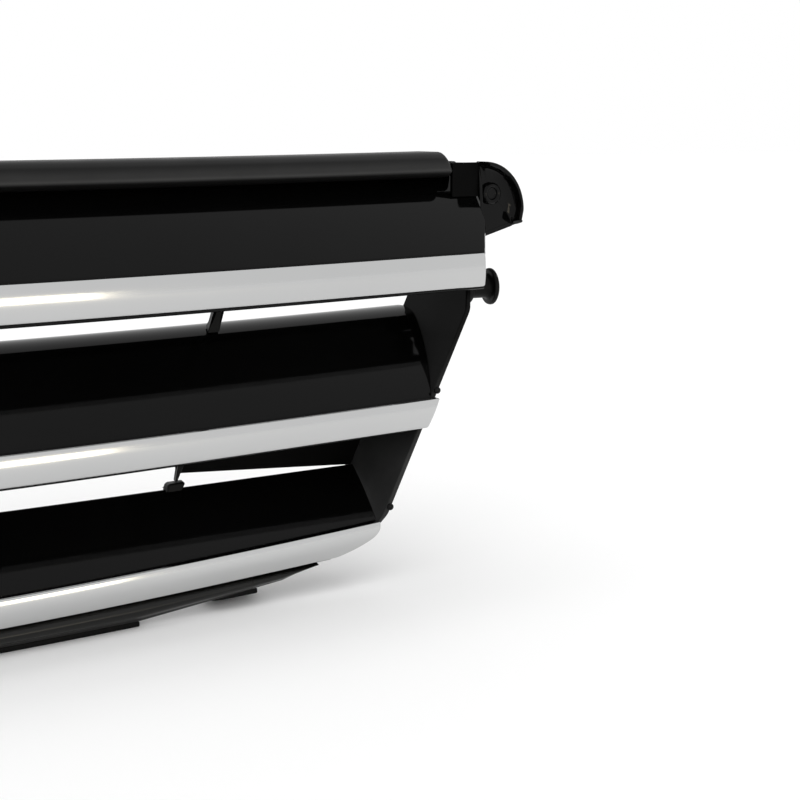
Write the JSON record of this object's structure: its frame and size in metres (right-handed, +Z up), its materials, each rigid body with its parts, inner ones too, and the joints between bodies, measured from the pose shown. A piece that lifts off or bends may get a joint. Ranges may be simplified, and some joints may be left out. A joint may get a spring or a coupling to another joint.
{
  "type": "front grille",
  "caption": "Wide bowed car front grille with fixed louvres, bright trim strips, a satin top rail, side cheeks, screw ears and locating studs.",
  "frame": {"origin": "on the underside of the mounting shelf, on the centre line, where the shelf rests", "axes": "+X to the right as seen from the front, -Y forwards out of the car, +Z up"},
  "size_m": [0.756, 0.1154, 0.2135],
  "materials": {
    "gloss_black": "piano black, polished",
    "satin_black": "satin black",
    "bright_trim": "bright plated plastic",
    "moulded_black": "as moulded"
  },
  "bodies": {
    "root": {"bottom_lip": "gloss_black", "bottom_louvre": "gloss_black", "cheek_left": "moulded_black", "cheek_pin_lower_left": "moulded_black", "cheek_pin_lower_right": "moulded_black", "cheek_pin_middle_left": "moulded_black", "cheek_pin_middle_right": "moulded_black", "cheek_right": "moulded_black", "corner_baffle_left": "moulded_black", "corner_baffle_right": "moulded_black", "ear_bush_left": "moulded_black", "ear_bush_right": "moulded_black", "ear_left": "gloss_black", "ear_right": "gloss_black", "end_wall_left": "gloss_black", "end_wall_right": "gloss_black", "lip_tab_left": "moulded_black", "lip_tab_right": "moulded_black", "locating_stud_left": "moulded_black", "locating_stud_right": "moulded_black", "lower_post_left": "moulded_black", "lower_post_right": "moulded_black", "lower_trim": "bright_trim", "middle_louvre": "gloss_black", "middle_post_inner_left": "moulded_black", "middle_post_inner_right": "moulded_black", "middle_post_outer_left": "moulded_black", "middle_post_outer_right": "moulded_black", "middle_trim": "bright_trim", "mounting_shelf": "moulded_black", "rail_lug_left": "satin_black", "rail_lug_right": "satin_black", "rail_tab_1": "moulded_black", "rail_tab_2": "moulded_black", "socket_inner_left": "moulded_black", "socket_inner_right": "moulded_black", "socket_outer_left": "moulded_black", "socket_outer_right": "moulded_black", "stud_block_left": "moulded_black", "stud_block_right": "moulded_black", "top_louvre": "gloss_black", "top_rail": "satin_black", "trim_pin_bottom_1": "moulded_black", "trim_pin_bottom_2": "moulded_black", "trim_pin_bottom_3": "moulded_black", "trim_pin_bottom_4": "moulded_black", "trim_pin_middle_1": "moulded_black", "trim_pin_middle_2": "moulded_black", "trim_pin_middle_3": "moulded_black", "trim_pin_middle_4": "moulded_black", "trim_pin_top_1": "moulded_black", "trim_pin_top_2": "moulded_black", "trim_pin_top_3": "moulded_black", "trim_pin_top_4": "moulded_black", "upper_post_inner_left": "moulded_black", "upper_post_inner_right": "moulded_black", "upper_post_outer_left": "moulded_black", "upper_post_outer_right": "moulded_black", "upper_trim": "bright_trim"}
  },
  "joints": []
}
